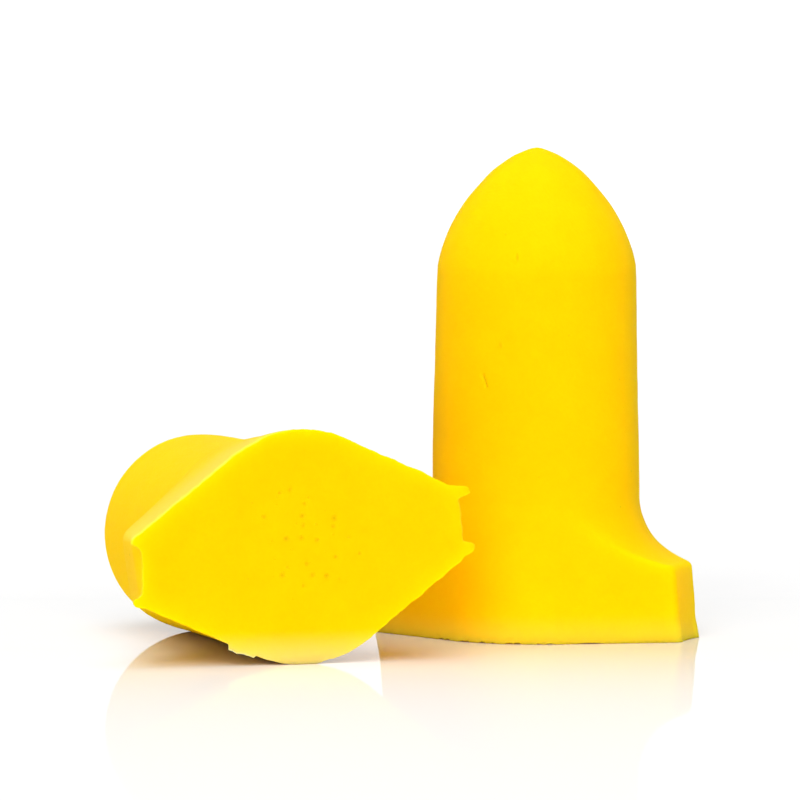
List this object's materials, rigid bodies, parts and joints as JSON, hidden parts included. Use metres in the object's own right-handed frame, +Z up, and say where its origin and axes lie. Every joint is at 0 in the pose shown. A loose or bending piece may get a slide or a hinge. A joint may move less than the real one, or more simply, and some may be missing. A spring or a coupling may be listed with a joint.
{
  "type": "foam ear plugs",
  "caption": "Soft moulded foam ear plugs with bullet noses and wide T-shaped bases, posed standing on the base and lying on the side.",
  "frame": {"origin": "centre of the standing plug's flat base face, on the surface that both plugs rest on", "axes": "+Z up, along the standing plug's axis from base to nose; X along the two wings of its base; Y across them, with the lying plug on the -Y side"},
  "size_m": [0.0316, 0.0308, 0.0261],
  "materials": {
    "yellow_foam": "matte"
  },
  "bodies": {
    "standing_plug": {"standing_plug": "yellow_foam"},
    "lying_plug": {"lying_plug": "yellow_foam"}
  },
  "joints": [
    {"name": "lying_plug_lift", "type": "slide", "parent": "standing_plug", "child": "lying_plug", "axis": [0, 0, 1], "range_m": [0, 0.03]}
  ]
}
